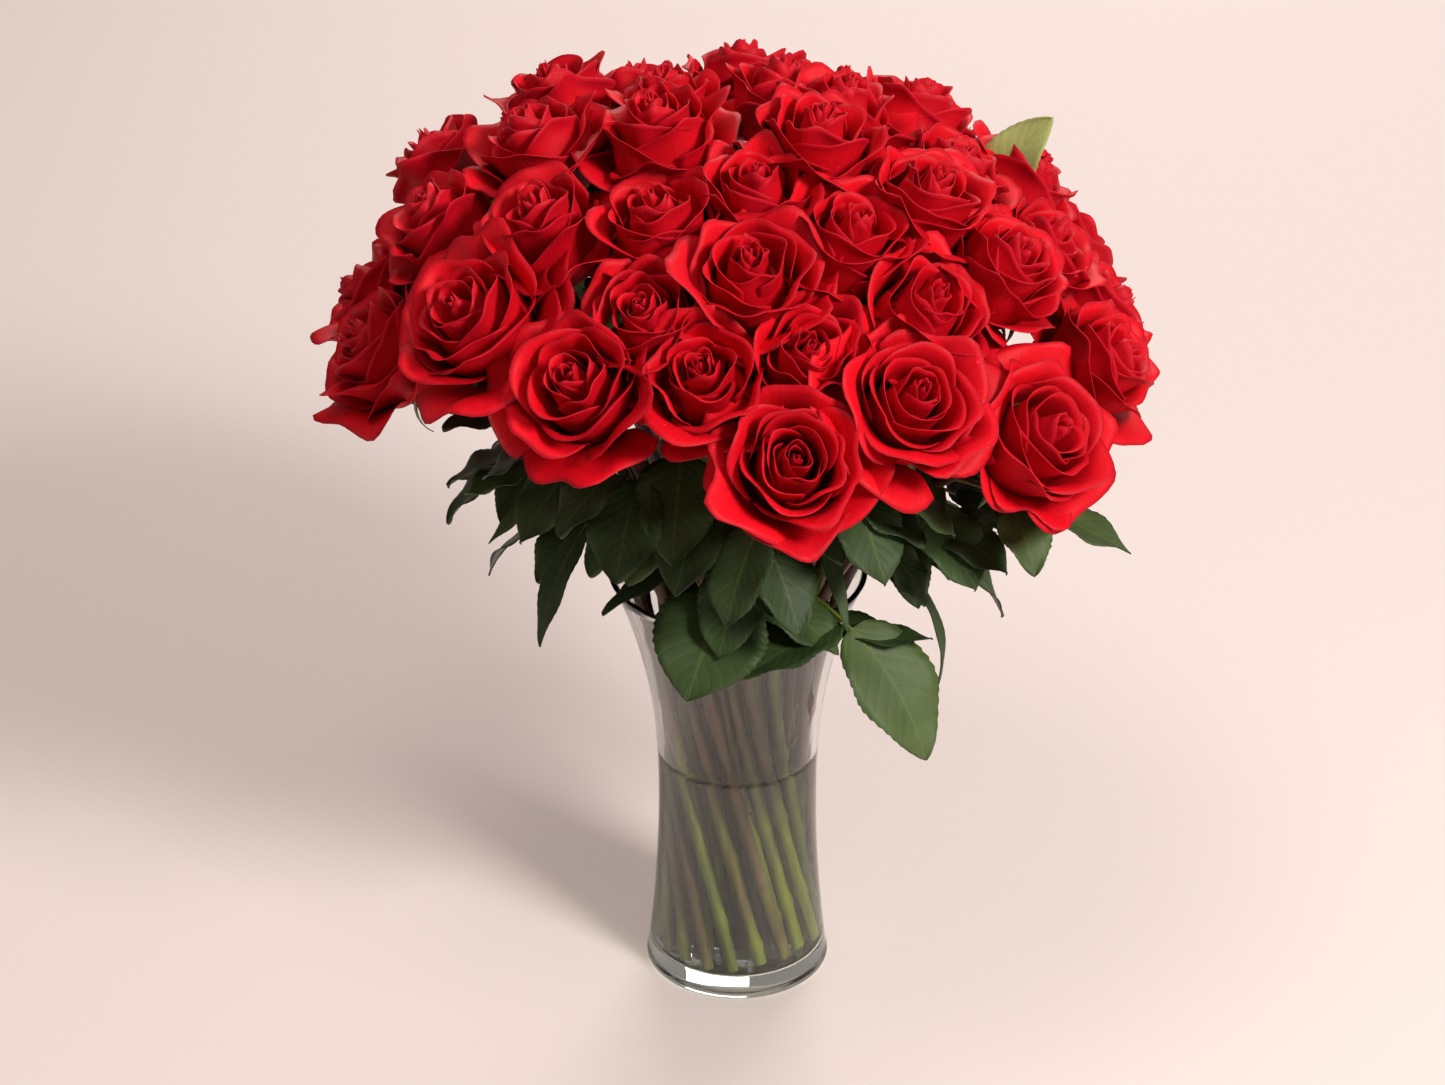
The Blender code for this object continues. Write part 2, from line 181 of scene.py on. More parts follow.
def roseLeaf(name, stops, veinShow, roughness):
    # rose foliage: leathery waxy blade, darker between its pale pinnate veins
    mat, tree, shader = newMaterial(name)
    uv = addNode(tree, "ShaderNodeUVMap", {"uv_map": "leafUV"})
    split = addNode(tree, "ShaderNodeSeparateXYZ", sockets={0: uv.outputs[0]})
    tone = addNode(tree, "ShaderNodeAttribute", {"attribute_name": "leafTone"})
    centred = addNode(tree, "ShaderNodeMath", {"operation": "SUBTRACT"},
                      {0: split.outputs["X"], 1: 0.5})
    aside = addNode(tree, "ShaderNodeMath", {"operation": "ABSOLUTE"}, {0: centred.outputs[0]})
    slant = addNode(tree, "ShaderNodeMath", {"operation": "MULTIPLY_ADD"},
                    {0: aside.outputs[0], 1: leafColours["veinSlant"], 2: split.outputs["Y"]})
    wave = addNode(tree, "ShaderNodeMath", {"operation": "MULTIPLY"},
                   {0: slant.outputs[0], 1: leafColours["veinPairs"] * math.pi})
    ripple = addNode(tree, "ShaderNodeMath", {"operation": "SINE"}, {0: wave.outputs[0]})
    ridge = addNode(tree, "ShaderNodeMath", {"operation": "ABSOLUTE"}, {0: ripple.outputs[0]})
    sideVein = addNode(tree, "ShaderNodeMapRange", sockets={
        "Value": ridge.outputs[0], "From Min": 0.0, "From Max": 0.14,
        "To Min": 1.0, "To Max": 0.0})
    midrib = addNode(tree, "ShaderNodeMapRange", sockets={
        "Value": aside.outputs[0], "From Min": 0.008, "From Max": 0.03,
        "To Min": 1.0, "To Max": 0.0})
    veins = addNode(tree, "ShaderNodeMath", {"operation": "MAXIMUM"},
                    {0: midrib.outputs[0], 1: sideVein.outputs[0]})
    net = addNode(tree, "ShaderNodeTexVoronoi", {"feature": "DISTANCE_TO_EDGE"}, {
        "Vector": uv.outputs[0], "Scale": leafColours["netScale"]})
    where = addNode(tree, "ShaderNodeTexCoord")
    blotch = addNode(tree, "ShaderNodeTexNoise", sockets={
        "Vector": where.outputs["Object"], "Scale": leafColours["blotchScale"], "Detail": 3.0})
    shade = addNode(tree, "ShaderNodeMath", {"operation": "MULTIPLY_ADD"},
                    {0: blotch.outputs["Fac"], 1: 0.35, 2: tone.outputs["Fac"]})
    ramp = addNode(tree, "ShaderNodeValToRGB", sockets={0: shade.outputs[0]})
    fillRamp(ramp, stops)
    veinMask = addNode(tree, "ShaderNodeMath", {"operation": "MULTIPLY"},
                       {0: veins.outputs[0], 1: veinShow})
    coloured = addNode(tree, "ShaderNodeMix", {"data_type": "RGBA"}, {
        0: veinMask.outputs[0], 6: ramp.outputs[0], 7: hexColour(leafColours["vein"])})
    relief = addNode(tree, "ShaderNodeMath", {"operation": "MULTIPLY_ADD"},
                     {0: net.outputs["Distance"], 1: 0.8, 2: ridge.outputs[0]})
    bump = addNode(tree, "ShaderNodeBump", sockets={
        "Height": relief.outputs[0], "Strength": 0.3, "Distance": leafColours["reliefDepth"]})
    tree.links.new(coloured.outputs[2], shader.inputs["Base Color"])
    tree.links.new(bump.outputs[0], shader.inputs["Normal"])
    shader.inputs["Roughness"].default_value = roughness
    shader.inputs["Specular IOR Level"].default_value = leafColours["specular"]
    return mat


stemColours = {
    "skin": [(0.0, "#12180A"), (0.3, "#3A4608"), (0.5, "#6A720E"), (0.64, "#544414"),
             (0.85, "#4A2A12"), (1.0, "#401E16")],
    "streakScale": 120.0,    # bark streaks about 8 mm apart
    "streakStretch": 0.12,   # and eight times as long
    "roughness": 0.42,
}


def stemSkin():
    # smooth green bark of a cut rose stem, flushed red brown where the sun caught it
    mat, tree, shader = newMaterial("rose_stem_bark")
    where = addNode(tree, "ShaderNodeTexCoord")
    stretch = addNode(tree, "ShaderNodeMapping", sockets={
        "Vector": where.outputs["Object"], "Scale": (1.0, 1.0, stemColours["streakStretch"])})
    streak = addNode(tree, "ShaderNodeTexNoise", sockets={
        "Vector": stretch.outputs[0], "Scale": stemColours["streakScale"], "Detail": 3.0})
    tone = addNode(tree, "ShaderNodeAttribute", {"attribute_name": "stemTone"})
    shade = addNode(tree, "ShaderNodeMath", {"operation": "MULTIPLY_ADD"},
                    {0: streak.outputs["Fac"], 1: 0.5, 2: tone.outputs["Fac"]})
    ramp = addNode(tree, "ShaderNodeValToRGB", sockets={0: shade.outputs[0]})
    fillRamp(ramp, stemColours["skin"])
    bump = addNode(tree, "ShaderNodeBump", sockets={
        "Height": streak.outputs["Fac"], "Strength": 0.35, "Distance": 0.0004})
    tree.links.new(ramp.outputs[0], shader.inputs["Base Color"])
    tree.links.new(bump.outputs[0], shader.inputs["Normal"])
    shader.inputs["Roughness"].default_value = stemColours["roughness"]
    return mat


def sepalSkin():
    # calyx: matt pale green with a faint bloom of fine hairs
    mat, tree, shader = newMaterial("rose_calyx")
    where = addNode(tree, "ShaderNodeTexCoord")
    mottle = addNode(tree, "ShaderNodeTexNoise", sockets={
        "Vector": where.outputs["Object"], "Scale": 220.0, "Detail": 3.0})
    ramp = addNode(tree, "ShaderNodeValToRGB", sockets={0: mottle.outputs["Fac"]})
    fillRamp(ramp, [(0.3, "#34481E"), (0.6, "#56702E"), (0.8, "#7A8A48")])
    bump = addNode(tree, "ShaderNodeBump", sockets={
        "Height": mottle.outputs["Fac"], "Strength": 0.3, "Distance": 0.0003})
    tree.links.new(ramp.outputs[0], shader.inputs["Base Color"])
    tree.links.new(bump.outputs[0], shader.inputs["Normal"])
    shader.inputs["Roughness"].default_value = 0.55
    shader.inputs["Sheen Weight"].default_value = 0.15
    return mat


def clearMedium(name, ior, tint, shade, bumpHeight):
    # clear glass or water: smooth, faintly tinted, and letting light through to what it shades
    mat, tree, shader = newMaterial(name)
    shader.inputs["Base Color"].default_value = hexColour(tint)
    shader.inputs["Roughness"].default_value = 0.0
    shader.inputs["IOR"].default_value = ior
    shader.inputs["Transmission Weight"].default_value = 1.0
    shader.inputs["Specular IOR Level"].default_value = 0.14     # little glare off the floor
    where = addNode(tree, "ShaderNodeTexCoord")
    sway = addNode(tree, "ShaderNodeTexNoise", sockets={
        "Vector": where.outputs["Object"], "Scale": 28.0, "Detail": 1.0})
    bump = addNode(tree, "ShaderNodeBump", sockets={
        "Height": sway.outputs["Fac"], "Strength": 0.2, "Distance": bumpHeight})
    tree.links.new(bump.outputs[0], shader.inputs["Normal"])
    clear = addNode(tree, "ShaderNodeBsdfTransparent", sockets={"Color": hexColour(shade)})
    ray = addNode(tree, "ShaderNodeLightPath")
    both = addNode(tree, "ShaderNodeMixShader", sockets={
        0: ray.outputs["Is Shadow Ray"], 1: shader.outputs[0], 2: clear.outputs[0]})
    tree.links.new(both.outputs[0], tree.nodes["Material Output"].inputs["Surface"])
    return mat


petalFront = velvetPetal("rose_petal_face", petalColours["front"], 0.05)
petalBack = velvetPetal("rose_petal_back", petalColours["back"], 0.04)
leafTop = roseLeaf("rose_leaf_top", leafColours["top"], 0.32, 0.34)
leafUnder = roseLeaf("rose_leaf_underside", leafColours["under"], 0.22, 0.55)
bark = stemSkin()
calyx = sepalSkin()
glass = clearMedium("clear_blown_glass", 1.5, "#F7FAF9", "#F0F2F1", 0.0004)
# the water lets shadow rays through at a darker tint than clear water would: painted shade on the
# stems standing in it
water = clearMedium("still_water", 1.333, "#F6FAF6", "#B4B8A8", 0.0)
dew = clearMedium("dew", 1.333, "#FFFFFF", "#FFFFFF", 0.0)
print("materials made")


# where every rose stands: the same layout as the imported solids

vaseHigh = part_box("vase")[1]
vaseShape = {
    "height": vaseHigh.z,
    "rim": vaseHigh.x + 0.0004,
    "waist": 0.0444,
    "waistHeight": 0.112,
    "base": 0.052,
    "wall": 0.0032,
    "floor": 0.012,
    "floorFillet": 0.004,
    "flare": 2.3,
    "waterLevel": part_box("water")[1].z,
}

bunch = {
    "stemRadius": 0.0024,
    "top": 0.200,            # straight below this height
    "twist": -75.0,
    "gap": 0.0003,
    "outerTilt": 65,
    "inward": 0.95,          # under 1 moves the middle stems further out
    "slant": 1.1,            # a leaning stem is this much wider when cut level
    "footDip": 0.35,         # share of a stem's radius that its slanted foot reaches down
    "bendReach": 0.38,
}

dome = {
    "centre": 0.310,
    "radius": 0.235,
    "rise": 0.224,
    "bloomHeight": 0.054,
    "nod": 0.85,             # how far a bloom turns out, as a share of its place's tilt
    "hipLength": 0.012,
    "hipRadius": 0.0062,
}

# azimuth and tilt of its place in degrees, bloom radius in mm, how far it stands out in mm
roses = [
    # lowest ring
    (8, 60, 35, 0), (28, 55, 36, 4), (50, 65, 34, 0), (72, 63, 33, 4), (94, 63, 33, -3),
    (115, 62, 33, 5), (136, 62, 33, -4), (157, 62, 33, 3), (178, 62, 33, -2), (199, 62, 33, 6),
    (220, 62, 33, -4), (241, 62, 33, 2), (262, 64, 32, 2), (282, 62, 33, -2),
    # second ring
    (307, 49, 37, 6), (332, 52, 36, -2), (354, 48, 31, -6), (13, 45, 27, -8), (39, 43, 30, -4),
    (62, 43, 31, 4), (84, 47, 30, -2), (106, 45, 30, 7), (130, 45, 31, -4), (154, 46, 31, 4),
    (178, 45, 31, -3), (202, 46, 31, 5), (226, 45, 31, 6), (250, 46, 30, 18), (276, 44, 32, 8),
    # third ring
    (340, 40, 28, -9), (3, 34, 29, 0), (32, 29, 30, -4), (60, 30, 30, 5), (88, 31, 28, -3),
    (118, 28, 29, 6), (148, 29, 29, -2), (178, 28, 29, 5), (210, 29, 29, 0), (240, 29, 29, 14),
    (272, 27, 28, 10), (304, 33, 30, 2), (334, 25, 28, -6),
    # top
    (8, 19, 29, -4), (48, 14, 28, 8), (102, 14, 27, 4), (154, 13, 27, 0), (228, 13, 27, -2),
    (300, 12, 28, 6),
]


def outerRadius(height):
    v = vaseShape
    if height < v["waistHeight"]:
        below = (v["waistHeight"] - height) / v["waistHeight"]
        return v["waist"] + (v["base"] - v["waist"]) * below ** 2
    above = (height - v["waistHeight"]) / (v["height"] - v["waistHeight"])
    return v["waist"] + (v["rim"] - v["waist"]) * above ** v["flare"]


def innerRadius(height):
    return outerRadius(height) - vaseShape["wall"]


def bunchScale():
    # how far out the outermost stems stand at their feet and at the top of the straight part
    v, b = vaseShape, bunch
    room = b["stemRadius"] * b["slant"] + b["gap"]
    feet = v["floor"] + b["gap"] + b["stemRadius"] * b["footDip"]
    low = innerRadius(v["floor"] + v["floorFillet"]) - v["floorFillet"] - room
    high = innerRadius(b["top"]) - room
    twist = math.radians(b["twist"])
    squeeze = 1.0
    for i in range(21):
        share = i / 20
        height = mix(feet, b["top"], share)
        spread = abs((1 - share) * low + share * high * complex(math.cos(twist), math.sin(twist)))
        squeeze = min(squeeze, (innerRadius(height) - room) / spread)
    return low * squeeze, high * squeeze, feet


def bloomAxis(rose):
    return heading(rose[0], 90 - rose[1] * dome["nod"])


def bloomBase(rose):
    azimuth, tilt, _, out = rose
    t = math.radians(tilt)
    place = heading(azimuth, 0) * dome["radius"] * math.sin(t)
    place += Vector((0, 0, dome["centre"] + dome["rise"] * math.cos(t)))
    return place + bloomAxis(rose) * (out / 1000 - dome["bloomHeight"])


def stemRoute(rose, bends):
    # foot, end of the straight part, then a smooth bend up to the hip
    azimuth, tilt = rose[:2]
    low, high, feet = bunchScale()
    outer = math.sin(math.radians(bunch["outerTilt"]) / 2)
    rank = (math.sin(math.radians(tilt) / 2) / outer) ** bunch["inward"]
    foot = heading(azimuth - bunch["twist"], 0) * rank * low + Vector((0, 0, feet))
    top = heading(azimuth, 0) * rank * high + Vector((0, 0, bunch["top"]))
    hip = bloomBase(rose)
    reach = (hip - top).length * bunch["bendReach"]
    first = top + (top - foot).normalized() * reach
    second = hip - bloomAxis(rose) * reach
    points = [foot.lerp(top, i / 10) for i in range(10)] + [top]
    for i in range(1, bends + 1):
        t = i / bends
        u = 1 - t
        points.append(top * u ** 3 + first * 3 * u * u * t + second * 3 * u * t * t + hip * t ** 3)
    return points


def meshObject(name, points, faces, mats, uv=None, uvName=None, attributes=None):
    mesh = bpy.data.meshes.new(name)
    mesh.from_pydata([tuple(p) for p in points], [], faces)
    for mat in mats:
        mesh.materials.append(mat)
    mesh.shade_smooth()
    if uv is not None:
        layer = mesh.uv_layers.new(name=uvName)
        corner = np.empty(len(mesh.loops), int)
        mesh.loops.foreach_get("vertex_index", corner)
        layer.data.foreach_set("uv", np.asarray(uv, np.float32)[corner].ravel())
    for key, values in (attributes or {}).items():
        attribute = mesh.attributes.new(key, "FLOAT", "POINT")
        attribute.data.foreach_set("value", np.asarray(values, np.float32))
    obj = bpy.data.objects.new(name, mesh)
    scene.collection.objects.link(obj)
    return obj


def gridFaces(cols, rows, start):
    faces = []
    for c in range(cols - 1):
        for r in range(rows - 1):
            a = start + c * rows + r
            faces.append((a, a + rows, a + rows + 1, a + 1))
    return faces


# blooms

bloomShape = {
    "petals": 24,
    "guards": 4,             # the last ones lie open, below the cup
    "turn": 137.5,           # degrees from one petal to the next
    "spread": 1.13,          # the open petals reach past the cup and lie against the next bloom
    "thickness": 0.0004,
    "seed": 11,
}

# first value for the innermost petal, second for the outermost; angles in degrees from upright
petalShape = {
    "bottom": (35, 84),
    "lean": (-10, 3),
    "opening": 17,           # more lean on the open blooms
    "lip": (10, 58),
    "lipOpening": 42,        # more lip on the open blooms
    "lipStart": (0.90, 0.66),
    "innerRadius": (0.0012, 0.0045),
    "point": (0.02, 0.13),
    "nicks": (0.004, 0.020),
    "wrap": (128, 60),
    "folded": (0.0001, 0.0046),
    "foldDrop": (0.0003, 0.0085),
    "wave": (0.0002, 0.0026),
    "crease": (0.0001, 0.0016),
    "edgeWave": (0.0004, 0.0024),
}


def petalSheet(rng, share, angle, radius, height, openness, guard):
    # one petal: a slope that swings from the cup's bottom, up its side and out over the lip,
    # added up along its length, then wrapped round the bloom's axis
    cols, rows = (21, 15) if share > 0.4 else (15, 10)
    u = np.linspace(-1, 1, cols)[:, None]
    v = np.linspace(0, 1, rows)[None, :] ** 0.85
    late = smooth((share - 0.45) / 0.55)
    skew = rng.uniform(-0.25, 0.25) * late
    p = petalShape
    point = mix(*p["point"], late) * np.exp(-((u - skew) / 0.22) ** 2)
    nick = mix(*p["nicks"], late) * np.sin(u * rng.uniform(6, 11) + rng.uniform(0, 6.3))
    s = v * (0.94 - 0.17 * np.abs(u) ** 2.4 + point + nick)
    bottom = mix(*p["bottom"], share)
    lean = mix(p["lean"][0], p["lean"][1] + p["opening"] * openness, share ** 1.4)
    lean += rng.uniform(-6, 6)
    lip = mix(p["lip"][0], p["lip"][1] + p["lipOpening"] * openness, share ** 0.9)
    lip += rng.uniform(-22, 26) * mix(0.4, 1, late)
    lipStart = mix(*p["lipStart"], share) + rng.uniform(-0.06, 0.05)
    if guard:
        lean += rng.uniform(14, 40)
        lip += rng.uniform(0, 50)
    mid = (s[:, 1:] + s[:, :-1]) / 2
    slope = lean + (bottom - lean) * (1 - smooth(mid / 0.42))
    curl = lip * (0.45 + 0.85 * np.abs(u - skew)) - lean
    slope = slope + curl * smooth((mid - lipStart) / (1.04 - lipStart))
    step = np.diff(s, axis=1)
    out = np.cumsum(np.sin(np.radians(slope)) * step, axis=1)
    up = np.cumsum(np.cos(np.radians(slope)) * step, axis=1)
    zero = np.zeros((cols, 1))
    out, up = np.hstack([zero, out]), np.hstack([zero, up])
    core = cols // 2
    belly = out[core][s[core] <= lipStart].max()
    inner = mix(*p["innerRadius"], share)
    out = inner + out * (radius - inner) / belly
    up = up * height / up[core].max()
    side = np.abs(u - skew * 0.6)
    fold = smooth((side - 0.30) / 0.70) * smooth((s - 0.35) / 0.6) ** 1.3
    roll = rng.uniform(0.5, 1.5, 2)
    uneven = np.where(u < 0, roll[0], roll[1])
    out = out + u * mix(0.0005, 0.0018, share) * s + fold * uneven * mix(*p["folded"], late)
    up = up - fold * uneven * mix(*p["foldDrop"], late)
    ruffle = smooth((s - 0.25) / 0.75) ** 1.6
    wave = np.sin(u * rng.uniform(1.4, 2.6) * math.pi + rng.uniform(0, 6.3))
    crease = np.sin(u * rng.uniform(5, 10) + s * rng.uniform(3, 6) + rng.uniform(0, 6.3))
    out = out + ruffle * (wave * mix(*p["wave"], share) + crease * mix(*p["crease"], late))
    edge = np.sin(u * rng.uniform(3, 6) + rng.uniform(0, 6.3)) * s ** 4
    up = up + edge * mix(*p["edgeWave"], share)
    half = math.radians(mix(*p["wrap"], share ** 0.6) * rng.uniform(0.90, 1.12))
    grow = 0.60 + 0.40 * smooth(s / 0.5) - 0.12 * smooth((s - 0.8) / 0.2)
    turn = angle + u * half * grow
    up = up + mix(0.004, 0.0, share)
    points = np.stack([out * np.cos(turn), out * np.sin(turn), up], axis=-1)
    uv = np.stack([np.broadcast_to(u * 0.5 + 0.5, s.shape), np.broadcast_to(v, s.shape)], axis=-1)
    return points.reshape(-1, 3), uv.reshape(-1, 2), cols, rows


def bloomRow(number, rose):
    rng = np.random.default_rng(bloomShape["seed"] + number)
    size = rose[2]
    radius = size / 1000 * bloomShape["spread"] * np.interp(size, [28, 35], [1.04, 0.95])
    openness = min(1.0, max(0.2, (size - 25) / 11 * rng.uniform(0.7, 1.2)))
    count = bloomShape["petals"] + int(rng.integers(-2, 4))
    points, uvs, tones, faces = [], [], [], []
    start = 0
    spin = rng.uniform(0, 360)
    bud = rng.uniform(0.40, 0.52)
    centre = rng.uniform(-3, 3, 2) / 1000
    for i in range(count):
        share = i / (count - 1)
        angle = math.radians(spin + i * bloomShape["turn"] + rng.uniform(-14, 14))
        # the middle third keeps together as a bud, then the petals stand further apart
        reach = radius * np.interp(share, [0, 0.35, 0.6, 1], [0.07, bud * 0.74, bud * 1.32, 0.92])
        reach *= rng.uniform(0.96, 1.05)
        tall = dome["bloomHeight"] * (1.0 - 0.02 * share - 0.22 * share ** 2)
        tall *= rng.uniform(0.96, 1.03)
        guard = i >= count - bloomShape["guards"]
        if guard:
            tall *= rng.uniform(0.60, 0.84)
        tall -= mix(0.004, 0, share)
        sheet, uv, cols, rows = petalSheet(rng, share, angle, reach, tall, openness, guard)
        sheet[:, :2] += centre * (1 - share) * (sheet[:, 2:] / dome["bloomHeight"])
        points.append(sheet)
        uvs.append(uv)
        # a random tone for each petal, plus 0.10 on the inner petals: painted shade deep in the
        # bloom
        tones.append(np.full(len(sheet), rng.uniform(0.0, 0.4) + 0.10 * (1 - share)))
        faces += gridFaces(cols, rows, start)
        start += len(sheet)
    facing = bloomAxis(rose).to_track_quat("Z", "Y").to_matrix()
    place = np.concatenate(points) @ np.array(facing).T + np.array(bloomBase(rose))
    bloom = meshObject(f"bloom_{number:02d}", place, faces, [petalBack, petalFront],
                       np.concatenate(uvs), "petalUV", {"petalToneAndInnerShade": np.concatenate(tones)})
    shell = bloom.modifiers.new("petal thickness", "SOLIDIFY")
    shell.thickness = bloomShape["thickness"]
    shell.offset = -1
    shell.material_offset = 1
    return bloom


blooms = [bloomRow(number, rose) for number, rose in enumerate(roses, 1)]
print("blooms made:", len(blooms))
for number, bloom in enumerate(blooms, 1):
    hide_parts(f"rose_{number:02d}")
    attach(bloom, "root")


# green parts: a curve for each stem, leaf stalk and midrib becomes a tube with nodes and thorns

stemShape = {
    "fuller": 1.36,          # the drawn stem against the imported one
    "spacing": 0.058,        # between the swollen nodes
    "swelling": 0.16,
    "thornSpacing": 0.031,
    "thornLength": 0.0042,
    "thornFoot": 0.0017,
    "thornSeat": 0.0022,     # from the stem's middle
    "thornTip": 72,          # degrees that a thorn leans out from the stem
    "thornShare": 0.55,      # of the places along the stem
    "knotSharpness": 34.0,
    "flush": 0.6,            # how much browner a stem is at its top
    "sides": 10,
}


def newTree(name, inputs):
    # a geometry tree with named inputs, ending in Realize Instances and Set Material
    tree = bpy.data.node_groups.new(name, "GeometryNodeTree")
    tree.interface.new_socket("Geometry", in_out="INPUT", socket_type="NodeSocketGeometry")
    tree.interface.new_socket("Geometry", in_out="OUTPUT", socket_type="NodeSocketGeometry")
    for label, kind, value in inputs:
        socket = tree.interface.new_socket(label, in_out="INPUT", socket_type="NodeSocket" + kind)
        if value is not None:
            socket.default_value = value
    return tree, addNode(tree, "NodeGroupInput")


def endTree(tree, shape, material):
    real = addNode(tree, "GeometryNodeRealizeInstances", sockets={0: shape})
    dressed = addNode(tree, "GeometryNodeSetMaterial",
                      sockets={"Geometry": real.outputs[0], "Material": material})
    addNode(tree, "NodeGroupOutput", sockets={0: dressed.outputs[0]})


def grownFrom(obj, tree, values, name):
    # runs the tree on an object and keeps the result as a plain mesh in its place
    modifier = obj.modifiers.new(tree.name, "NODES")
    modifier.node_group = tree
    for item in tree.interface.items_tree:
        if item.item_type == "SOCKET" and item.in_out == "INPUT" and item.name in values:
            modifier[item.identifier] = values[item.name]
    mesh = bpy.data.meshes.new_from_object(obj.evaluated_get(bpy.context.evaluated_depsgraph_get()))
    bpy.data.objects.remove(obj)
    grown = bpy.data.objects.new(name, mesh)
    mesh.shade_smooth()
    scene.collection.objects.link(grown)
    return grown


dewShape = {
    "blooms": [1, 2, 3, 4, 16, 17, 18, 19, 20, 21, 31, 32, 33, 43, 44, 45],
    "perSquareMetre": 1500.0,
    "smallest": 0.0004,
    "largest": 0.0013,
    "seed": 3,
}


def dewTree():
    # small domed drops lying on a mesh
    tree, given = newTree("dew drops", [
        ("Amount", "Float", 400.0), ("Smallest", "Float", 0.0004), ("Largest", "Float", 0.001),
        ("Seed", "Int", 1), ("Water", "Material", None)])
    spots = addNode(tree, "GeometryNodeDistributePointsOnFaces", sockets={
        "Mesh": given.outputs["Geometry"], "Density": given.outputs["Amount"],
        "Seed": given.outputs["Seed"]})
    ball = addNode(tree, "GeometryNodeMeshIcoSphere", sockets={"Radius": 1.0, "Subdivisions": 2})
    squash = addNode(tree, "ShaderNodeCombineXYZ", sockets={"X": 1.0, "Y": 1.0, "Z": 0.6})
    drop = addNode(tree, "GeometryNodeTransform",
                   sockets={"Geometry": ball.outputs["Mesh"], "Scale": squash.outputs[0]})
    size = addNode(tree, "FunctionNodeRandomValue", {"data_type": "FLOAT"}, {
        2: given.outputs["Smallest"], 3: given.outputs["Largest"], "Seed": given.outputs["Seed"]})
    drops = addNode(tree, "GeometryNodeInstanceOnPoints", sockets={
        "Points": spots.outputs["Points"], "Instance": drop.outputs[0],
        "Rotation": spots.outputs["Rotation"], "Scale": size.outputs[1]})
    endTree(tree, drops.outputs[0], given.outputs["Water"])
    return tree


def dewRow(tree):
    points, faces = [], []
    for number in dewShape["blooms"]:
        mesh = blooms[number - 1].data
        faces += [tuple(len(points) + i for i in face.vertices) for face in mesh.polygons]
        points += [vert.co.copy() for vert in mesh.vertices]
    source = meshObject("wet petals", points, faces, [])
    return grownFrom(source, tree, {
        "Amount": dewShape["perSquareMetre"], "Smallest": dewShape["smallest"],
        "Largest": dewShape["largest"], "Seed": dewShape["seed"], "Water": dew}, "dew")


drops = dewRow(dewTree())
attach(drops, "root")
print("dew made:", len(drops.data.polygons))


